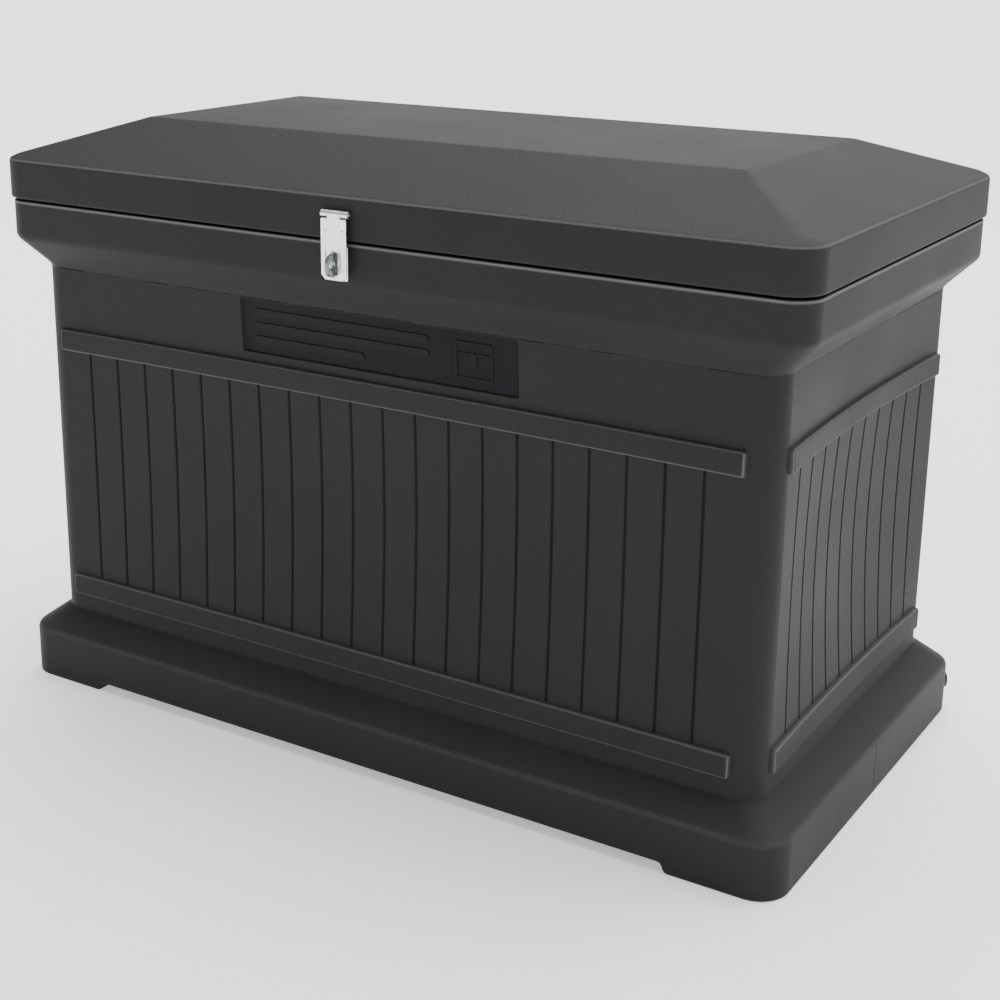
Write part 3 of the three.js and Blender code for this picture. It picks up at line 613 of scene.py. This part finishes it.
def turned(profile, sides=48, joined=False):
    """A lathe-turned solid about Z: the profile's (radius, height) points carried round a circle,
    with a flat cap on its first and last ring, or with the last ring joined to the first."""
    radius, height = np.asarray(profile, float).T
    angle = np.linspace(0, 2 * np.pi, sides, endpoint=False)
    around = np.stack([np.cos(angle), np.sin(angle)], axis=-1)
    points = np.empty((len(radius), sides, 3))
    points[..., :2] = radius[:, None, None] * around
    points[..., 2] = height[:, None]
    faces = ring_quads(len(radius), sides, joined)
    if not joined:
        last = (len(radius) - 1) * sides
        faces += [list(range(sides))[::-1], list(range(last, last + sides))]
    return points.reshape(-1, 3), faces


def out_of_front(solid, x, z, out):
    """Puts a solid drawn with x along the front, y up and z outwards at its place on the front."""
    points, faces = solid
    return np.stack([points[:, 0] + x, -points[:, 2] - out, points[:, 1] + z], axis=-1), faces


def out_of_back(solid, x, z, out):
    """Puts a solid drawn with x along the back, y up and z outwards at its place on the back."""
    points, faces = solid
    return np.stack([-points[:, 0] - x, points[:, 2] + out, points[:, 1] + z], axis=-1), faces


plug_profile = [
    (0.0072, -0.010),
    (0.0084, -0.008),
    (0.0087, -0.006),
    (0.0087, 0.0003),
    (0.0118, 0.0003),
    (0.0120, 0.0006),
    (0.0120, 0.0022),
    (0.0117, 0.0030),
    (0.0108, 0.0036),
    (0.0098, 0.0038),
    (0.0080, 0.0038),
    (0.0074, 0.0033),
    (0.0030, 0.0033),
]
# The drain plug's head is 26 mm across, and its underside bends to the corner it is pressed into.
drain_points, drain_faces = turned(plug_profile)
drain_points = drain_points * (13 / 12, 13 / 12, 1)
corner_reach, corner_middle, drain_height = 0.0375, (plinth_straight, 0.263), 0.036
drop = corner_reach - np.sqrt(corner_reach**2 - drain_points[:, 0] ** 2)
drain_points[:, 2] -= np.where(drain_points[:, 2] < 0.0005, drop, 0)
across, upward, outward = drain_points.T
drain_points = np.stack([outward + corner_reach, across, upward], axis=-1)
outwards = np.sqrt(0.5) * np.array([[1, 1, 0], [-1, 1, 0], [0, 0, np.sqrt(2)]])
drain_points = drain_points @ outwards + (*corner_middle, drain_height)
drain_node, vent_node = ["drain_plug"], ["lid_vent_plug"]
add_piece(
    "drain_plug_cap", drain_points, drain_faces, "box", "black_plastic", drain_node, black_plastic
)
vent_points, vent_faces = turned(plug_profile)
vent_points = vent_points * (1, -1, -1) + (0, 0, hollow_ceiling)
add_piece(
    "vent_plug_cap", vent_points, vent_faces, "lid", "black_plastic", vent_node, black_plastic
)

# ---- Rear hinges ----------------------------------------------------------------------------------
# Two zinc-plated steel butt hinges across the gap at the back. Each has two pressed leaves with
# rolled knuckles, a plain pin through their bores and six pan-head screws into the mouldings.


def zinc_plate_finish(title, darker, lighter):
    """Zinc plate on pressed steel: metal whose cloudy passivation goes from a darker to a lighter
    grey, with a fine grain."""
    material = bpy.data.materials.new(title)
    material.use_nodes = True
    shader = material.node_tree.nodes["Principled BSDF"]
    link = material.node_tree.links.new
    shader.inputs["Metallic"].default_value = 1.0
    grain = grained(
        material, cloud_scale=90.0, pebble_scale=700.0, pebble_depth=0.00002, fine_depth=0.00001
    )
    colour = blended(material, grain.outputs["Cloud"], darker, lighter)
    link(colour, shader.inputs["Base Color"])
    link(ranged(material, grain.outputs["Cloud"], 0.26, 0.42), shader.inputs["Roughness"])
    return material


zinc = zinc_plate_finish("bright zinc plate", (0.84, 0.86, 0.88), (0.96, 0.97, 0.97))
fit_gap = 0.0003  # the space left between parts that meet


def along_x(solid, start):
    """A solid drawn up Z laid along X, from start."""
    points, faces = solid
    return np.stack([points[:, 2] + start, points[:, 1], -points[:, 0]], axis=-1), faces


def eased_side(radius, length, ease):
    """A round piece's side up Z, from one eased end to the other, as (radius, height) points."""
    return [(radius - ease, 0), (radius, ease), (radius, length - ease), (radius - ease, length)]


def barrel(radius, length, ease=0.0004, sides=32):
    """A plain round bar with eased ends."""
    return turned(eased_side(radius, length, ease), sides)


def rolled(radius, bore, length, ease=0.0004, sides=32):
    """A rolled knuckle: a tube with eased outer edges, drawn up Z."""
    profile = [(bore, 0)] + eased_side(radius, length, ease) + [(bore, length)]
    return turned(profile, sides, joined=True)


def pan_screw(seat):
    """A pan-head screw drawn along z with its head on a plate at height seat: a turned shank and a
    domed head with a round drive recess."""
    dome = np.linspace(0, np.pi / 2, 6)
    under = seat + fit_gap
    shank = [(0.0008, under - 0.013), (0.0020, under - 0.010), (0.0020, under)]
    head = np.column_stack([0.0024 + 0.0016 * np.cos(dome), under + 0.0006 + 0.0012 * np.sin(dome)])
    recess = [(0.0015, under + 0.0018), (0.0011, under + 0.0009), (0.0003, under + 0.0007)]
    return turned(shank + [(0.0040, under)] + head.tolist() + recess, 20)


hinge_axis_y, hinge_axis_z, hinge_offset = 0.3053, 0.65725, 0.330
leaf_width, leaf_height, leaf_thick, knuckle_radius = 0.076, 0.034, 0.002, 0.0045
hinge_pin_radius, hinge_bore, hinge_knuckles = 0.0025, 0.0028, 5
leaf_start, pin_over = 0.006, 0.0015  # the flat's distance from the axis; the pin past the leaf
screw_steps, screw_drop = (-0.026, 0.0, 0.026), 0.0247


def curled_web(up, back, start, length):
    """The sheet between a leaf's flat and a knuckle: a section in (y, z) carried along X. It leaves
    the flat, leans out towards the pin and ends inside the knuckle's wall."""
    flat_back, flat_face = 0.0002 - back, leaf_thick - 0.0002 - back
    section = np.array(
        [
            (0.0090, flat_back),
            (0.0060, flat_back),
            (0.0005, -0.0042),
            (0.0030, -0.0029),
            (0.0070, flat_face),
            (0.0090, flat_face),
        ]
    )
    ring = section[::-up] * (up, 1)
    ends = [np.column_stack([np.full(6, x), ring]) for x in (start, start + length)]
    return np.concatenate(ends), ring_quads(2, 6) + [list(range(6))[::-1], list(range(6, 12))]


def hinge_leaf(up, back):
    """One leaf and its rolled knuckles, drawn with the hinge's axis at the origin."""
    flat = pressed_plate(rounded_outline(leaf_width, leaf_height, 0.003), leaf_thick)
    solids = [moved(flat, y=up * (leaf_start + leaf_height / 2), z=-back)]
    step = leaf_width / hinge_knuckles
    for number in range(1 if up == 1 else 0, hinge_knuckles, 2):
        start = number * step - leaf_width / 2 + fit_gap / 2
        solids.append(along_x(rolled(knuckle_radius, hinge_bore, step - fit_gap), start))
        solids.append(curled_web(up, back, start + 0.0001, step - fit_gap - 0.0002))
    return together(*solids)


for hand, middle in (("left", hinge_offset), ("right", -hinge_offset)):
    for part, up, face, name in (("body", -1, rim_half[1], "box"), ("lid", 1, lid_half[1], "lid")):
        back = hinge_axis_y - face - fit_gap
        points, faces = out_of_back(hinge_leaf(up, back), middle, hinge_axis_z, hinge_axis_y)
        node = "hinge_" + part + "_leaf_" + hand
        add_piece(node + "_plate", points, faces, name, "zinc_plate", [node], zinc)
        for number, step in enumerate(screw_steps, 1):
            screw = out_of_back(
                pan_screw(leaf_thick - back),
                middle + step,
                hinge_axis_z + up * screw_drop,
                hinge_axis_y,
            )
            node = "hinge_" + part + "_screw_" + hand + "_" + str(number)
            add_piece(node + "_head", *screw, name, "zinc_plate", [node], zinc)
    pin_length = leaf_width + 2 * pin_over
    pin = along_x(barrel(hinge_pin_radius, pin_length, 0.0006), -leaf_width / 2 - pin_over)
    pin = out_of_back(pin, middle, hinge_axis_z, hinge_axis_y)
    node = "hinge_pin_" + hand
    add_piece(node + "_bar", *pin, "box", "zinc_plate", [node], zinc)

# ---- Padlock staple -------------------------------------------------------------------------------
# A zinc-plated base plate screwed to the front of the rim, with an upright eye that stands out
# through the hasp's slot and takes the padlock's shackle.

hasp_x, hasp_z, hasp_out = -0.012, 0.689, 0.3048
rim_front, staple_z, staple_thick = rim_half[1], 0.632, 0.0015

plate_solid = pressed_plate(rounded_outline(0.024, 0.040, 0.002), staple_thick)
plate_solid = out_of_front(plate_solid, hasp_x, staple_z, rim_front + fit_gap)
add_piece("staple_base", *plate_solid, "box", "zinc_plate", ["staple_plate"], zinc)
number = 0
for across in (-0.0065, 0.0065):
    for up in (-0.015, 0.015):
        number += 1
        screw = pan_screw(rim_front + fit_gap + staple_thick)
        screw = out_of_front(screw, hasp_x + across, staple_z + up, 0)
        node = "staple_screw_" + str(number)
        add_piece(node + "_head", *screw, "box", "zinc_plate", [node], zinc)


def staple_tongue():
    """The upright eye: a plate drawn with x outwards and y up, rounded at its outer end, with a
    cross hole, then turned to stand at right angles to the front."""
    reach, thick, bore, bore_out = 0.0249, 0.004, 0.010, 0.0152
    outline = rounded_outline(reach, 0.026, (0.0100, 0.0012, 0.0012, 0.0100), 8) + (reach / 2, 0)
    hole = rounded_outline(bore, bore, bore / 2, 8) + (bore_out, 0)
    points, faces = pressed_plate(outline, thick, 0.0007, hole)
    return np.stack([-points[:, 2] + thick / 2, points[:, 1], points[:, 0]], axis=-1), faces


# Painted shade: the eye takes a much darker copy of the same zinc plate, standing in for the shade
# that falls on it in the hasp's slot.
shade_darkened_zinc = zinc_plate_finish("zinc plate darkened for shade", (0.16, 0.17, 0.18), (0.30, 0.31, 0.32))
eye_foot = rim_front + staple_thick + 2 * fit_gap
eye_solid = out_of_front(staple_tongue(), hasp_x, staple_z, eye_foot)
add_piece("staple_loop", *eye_solid, "box", "zinc_plate", ["staple_eye"], shade_darkened_zinc)

# ---- Hasp -----------------------------------------------------------------------------------------
# A bright zinc-plated safety hasp: a small leaf screwed to the lid's rim, a pin, and a strap with a
# rolled knuckle, two pressed ribs, clipped lower corners and a slot that drops over the eye.

hasp_knuckle, strap_width, strap_length, strap_thick = 0.004, 0.035, 0.075, 0.0015
hasp_pin_radius, hasp_bore, neck_top = 0.0016, 0.0019, 0.005
hasp_leaf_width, hasp_leaf_height = 0.024, 0.020


def hasp_strap_solid():
    """The strap, drawn from the pin's axis down: a slotted plate with clipped lower corners,
    tangent to its rolled knuckle, with two ribs pressed outwards beside the slot."""
    height = strap_length - neck_top
    corners = (0.001, 0.001, 0.0055, 0.0055)
    outline = rounded_outline(strap_width, height, corners, 6, straight=True)
    outline = outline + (0, -neck_top - height / 2)
    opening = rounded_outline(0.011, 0.031, 0.0052, 6) + (0, staple_z - hasp_z)
    face = hasp_knuckle - strap_thick
    flat = moved(pressed_plate(outline, strap_thick, 0.0003, opening), z=face)
    roll = along_x(rolled(hasp_knuckle, hasp_bore, strap_width / 2), -strap_width / 4)
    neck = rounded_outline(strap_width / 2, 0.0075, 0.0003, 2)
    neck = pressed_plate(neck, strap_thick - 0.0002, 0.0003)
    ribs = [
        moved(
            pressed_plate(rounded_outline(0.0034, 0.046, 0.0016, 5), 0.0020, 0.0010),
            x=side * (strap_width / 2 - 0.0055),
            y=-0.040,
            z=face + 0.0006,
        )
        for side in (-1, 1)
    ]
    return together(flat, roll, moved(neck, y=-0.00325, z=face + 0.0001), *ribs)


strap_solid = out_of_front(hasp_strap_solid(), hasp_x, hasp_z, hasp_out)
add_piece("strap_plate", *strap_solid, "strap", "zinc_plate", ["hasp_strap"], zinc)

leaf_back = hasp_out - lid_half[1] - fit_gap
hasp_leaf_flat = rounded_outline(hasp_leaf_width, hasp_leaf_height - neck_top, 0.0015)
hasp_leaf_flat = pressed_plate(hasp_leaf_flat, strap_thick)
hasp_tab = pressed_plate(rounded_outline(0.0028, 0.0065, 0.0003, 2), strap_thick - 0.0002, 0.0002)
hasp_leaf_solid = together(
    moved(hasp_leaf_flat, y=-(hasp_leaf_height + neck_top) / 2, z=-leaf_back),
    *[moved(hasp_tab, x=x, y=-0.00325, z=0.0001 - leaf_back) for x in (-0.0105, 0.0105)],
    *[along_x(rolled(hasp_knuckle, hasp_bore, 0.00945), start) for start in (-0.0185, 0.00905)],
)
hasp_leaf_solid = out_of_front(hasp_leaf_solid, hasp_x, hasp_z, hasp_out)
add_piece("hasp_leaf_plate", *hasp_leaf_solid, "lid", "zinc_plate", ["hasp_leaf"], zinc)
hasp_bar = along_x(barrel(hasp_pin_radius, 0.0386, 0.0004, 20), -0.0193)
hasp_bar = out_of_front(hasp_bar, hasp_x, hasp_z, hasp_out)
add_piece("hasp_bar", *hasp_bar, "lid", "zinc_plate", ["hasp_pin"], zinc)
for number, across in enumerate((-0.0065, 0.0065), 1):
    screw = pan_screw(lid_half[1] + fit_gap + strap_thick)
    screw = out_of_front(screw, hasp_x + across, 0.677, 0)
    node = "hasp_screw_" + str(number)
    add_piece(node + "_head", *screw, "lid", "zinc_plate", [node], zinc)

# ---- Gas struts -----------------------------------------------------------------------------------
# A gas strut at each end of the bay holds the lid up: a black enamelled tube with a rolled groove
# and a moulded gland, a polished rod with a moulded end and a piston, and two zinc-plated brackets
# with their pins and screws. The piston, brackets, pins and screws keep their CAD shape.


def black_steel_finish():
    """Black stoved enamel on a drawn tube: glossy, a little uneven, with a faint orange peel."""
    material = bpy.data.materials.new("black enamelled steel")
    material.use_nodes = True
    shader = material.node_tree.nodes["Principled BSDF"]
    link = material.node_tree.links.new
    grain = grained(material, cloud_scale=60.0, pebble_scale=300.0, pebble_depth=0.00002)
    colour = blended(material, grain.outputs["Cloud"], (0.006, 0.006, 0.007), (0.018, 0.018, 0.019))
    link(colour, shader.inputs["Base Color"])
    link(ranged(material, grain.outputs["Cloud"], 0.18, 0.34), shader.inputs["Roughness"])
    return material


def polished_steel_finish():
    """Ground and polished rod steel: bright metal with a film of oil that clouds its gloss."""
    material = bpy.data.materials.new("polished rod steel")
    material.use_nodes = True
    shader = material.node_tree.nodes["Principled BSDF"]
    link = material.node_tree.links.new
    shader.inputs["Metallic"].default_value = 1.0
    grain = grained(
        material, cloud_scale=110.0, pebble_scale=900.0, pebble_depth=0.000006, fine_depth=0.000003
    )
    colour = blended(material, grain.outputs["Cloud"], (0.52, 0.53, 0.54), (0.70, 0.71, 0.72))
    link(colour, shader.inputs["Base Color"])
    link(ranged(material, grain.outputs["Cloud"], 0.08, 0.20), shader.inputs["Roughness"])
    return material


black_steel, polished_steel = black_steel_finish(), polished_steel_finish()
pivot_x, pivot_y, pivot_z = 0.455, 0.1003, 0.40725  # the lower pivot
lean, span = np.arctan2(0.095, 0.236), 0.2544  # the strut's tilt, and the pivots' distance
eye_neck, rod_radius, rod_length, rod_start = 0.0092, 0.0040, 0.1958, 0.0423


def on_strut(hand, solid):
    """Leans a solid drawn upright from the lower pivot onto the strut's line, on one side."""
    points, faces = solid
    x = (pivot_x if hand == "right" else -pivot_x) + points[:, 0]
    y = pivot_y + points[:, 1] * np.cos(lean) + points[:, 2] * np.sin(lean)
    z = pivot_z - points[:, 1] * np.sin(lean) + points[:, 2] * np.cos(lean)
    return np.stack([x, y, z], axis=-1), faces


def strut_eye(height, neck_middle):
    """An eye about the pivot's line along X, with the flat neck that joins it to its tube or end."""
    ring = [(0.0043, -0.0030), (0.0086, -0.0030), (0.0090, -0.0026)]
    ring += [(0.0090, 0.0026), (0.0086, 0.0030), (0.0043, 0.0030)]
    points, faces = pressed_plate(rounded_outline(0.0110, 0.0070, 0.0006, 3), 0.0056, 0.0003)
    neck = np.stack([points[:, 2] - 0.0028, points[:, 0], points[:, 1] + neck_middle], axis=-1)
    return together(moved(along_x(turned(ring, 48, joined=True), 0), z=height), (neck, faces))


tube_profile = [
    (0.0020, 0.0120),
    (0.0078, 0.0120),
    (0.0086, 0.0123),
    (0.0090, 0.0130),
    (0.0090, 0.1640),
    (0.0087, 0.1648),
    (0.0085, 0.1656),
    (0.0087, 0.1664),
    (0.0090, 0.1672),
    (0.0090, 0.1762),
    (0.0087, 0.1770),
    (0.0072, 0.1770),
    (0.0070, 0.1767),
    (0.0070, 0.0220),
    (0.0064, 0.0212),
    (0.0020, 0.0210),
]
gland_profile = [
    (0.0043, 0.1773),
    (0.0087, 0.1773),
    (0.0090, 0.1777),
    (0.0090, 0.1846),
    (0.0085, 0.1860),
    (0.0074, 0.1870),
    (0.0068, 0.1873),
    (0.0050, 0.1873),
    (0.0043, 0.1868),
]
sleeve_profile = [
    (0.0010, 0.2384),
    (0.0055, 0.2384),
    (0.0060, 0.2389),
    (0.0060, 0.2450),
    (0.0052, 0.2464),
    (0.0010, 0.2464),
]
for hand in ("left", "right"):
    tube = on_strut(hand, together(turned(tube_profile, 56), strut_eye(0, eye_neck)))
    gland = on_strut(hand, turned(gland_profile, 56, joined=True))
    rod = on_strut(hand, moved(barrel(rod_radius, rod_length, 0.0004, 40), z=rod_start))
    end = on_strut(hand, together(turned(sleeve_profile, 40), strut_eye(span, span - eye_neck)))
    carrier, slider = "strut_tube_" + hand, "strut_rod_" + hand
    add_piece(carrier + "_body", *tube, carrier, "black_steel", [carrier], black_steel)
    seal, fork = "strut_gland_" + hand, "strut_rod_end_" + hand
    add_piece(seal + "_cap", *gland, carrier, "black_plastic", [seal], black_plastic)
    add_piece(slider + "_bar", *rod, slider, "polished_steel", [slider], polished_steel)
    add_piece(fork + "_eye", *end, slider, "black_plastic", [fork], black_plastic)
    for part in ("strut_piston_", "strut_body_bracket_", "strut_lid_bracket_", "strut_body_pin_"):
        finish = black_plastic if part == "strut_piston_" else zinc
        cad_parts[part + hand].data.materials.clear()
        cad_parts[part + hand].data.materials.append(finish)
    for part in ("lid_pin_", "body_screw_", "lid_screw_"):
        for suffix in ("",) if part == "lid_pin_" else ("_1", "_2"):
            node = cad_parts["strut_" + part + hand + suffix]
            node.data.materials.clear()
            node.data.materials.append(zinc)

# ---- Floor, light and camera ----------------------------------------------------------------------
# A plain pale floor that glows a little, one broad soft light overhead, a dim even surround, and a
# wide panel behind that puts a sheen on the lid.

floor_mesh = bpy.data.meshes.new("floor")
floor_mesh.from_pydata([(-40, -40, 0), (40, -40, 0), (40, 40, 0), (-40, 40, 0)], [], [(0, 1, 2, 3)])
floor_finish = bpy.data.materials.new("pale floor")
floor_finish.use_nodes = True
floor_shader = floor_finish.node_tree.nodes["Principled BSDF"]
floor_shader.inputs["Base Color"].default_value = (0.93, 0.93, 0.93, 1)
floor_shader.inputs["Roughness"].default_value = 0.9
floor_shader.inputs["Emission Color"].default_value = (1, 1, 1, 1)
floor_shader.inputs["Emission Strength"].default_value = 0.5
floor_mesh.materials.append(floor_finish)
floor = bpy.data.objects.new("floor", floor_mesh)
bpy.context.collection.objects.link(floor)

surround = bpy.data.worlds.new("surround")
surround.use_nodes = True
surround.node_tree.nodes["Background"].inputs["Color"].default_value = (0.95, 0.97, 1.0, 1)
surround.node_tree.nodes["Background"].inputs["Strength"].default_value = 0.5
bpy.context.scene.world = surround


def facing(direction):
    """The turn that points a light, which shines along its own -Z, along a direction."""
    return Vector(direction).to_track_quat("-Z", "Y").to_euler()


sky = bpy.data.lights.new("soft key", "SUN")
sky.energy, sky.angle, sky.color = 5.7, 1.2, (1.0, 0.975, 0.93)
sky_lamp = bpy.data.objects.new("soft key", sky)
sky_lamp.rotation_euler = facing((-0.05, -0.38, -0.92))
bpy.context.collection.objects.link(sky_lamp)

sheen = bpy.data.lights.new("wide panel", "AREA")
sheen.shape, sheen.size, sheen.size_y, sheen.energy = "RECTANGLE", 4.0, 2.0, 24.0
sheen_lamp = bpy.data.objects.new("wide panel", sheen)
sheen_lamp.location = (-1.5, 3.5, 1.9)
sheen_lamp.rotation_euler = facing((1.5, -3.5, -1.2))
bpy.context.collection.objects.link(sheen_lamp)

lens = bpy.data.cameras.new("camera")
lens.lens, lens.sensor_width = 62.19, 36.0
lens.shift_x, lens.shift_y = 0.0512, -0.0949
camera = bpy.data.objects.new("camera", lens)
camera.matrix_world = Matrix(
    (
        (0.84062, -0.15389, 0.51930, 1.12785),
        (0.54159, 0.22964, -0.80867, -1.84292),
        (0.00519, 0.96103, 0.27639, 1.01728),
        (0, 0, 0, 1),
    )
)
bpy.context.collection.objects.link(camera)
bpy.context.scene.camera = camera
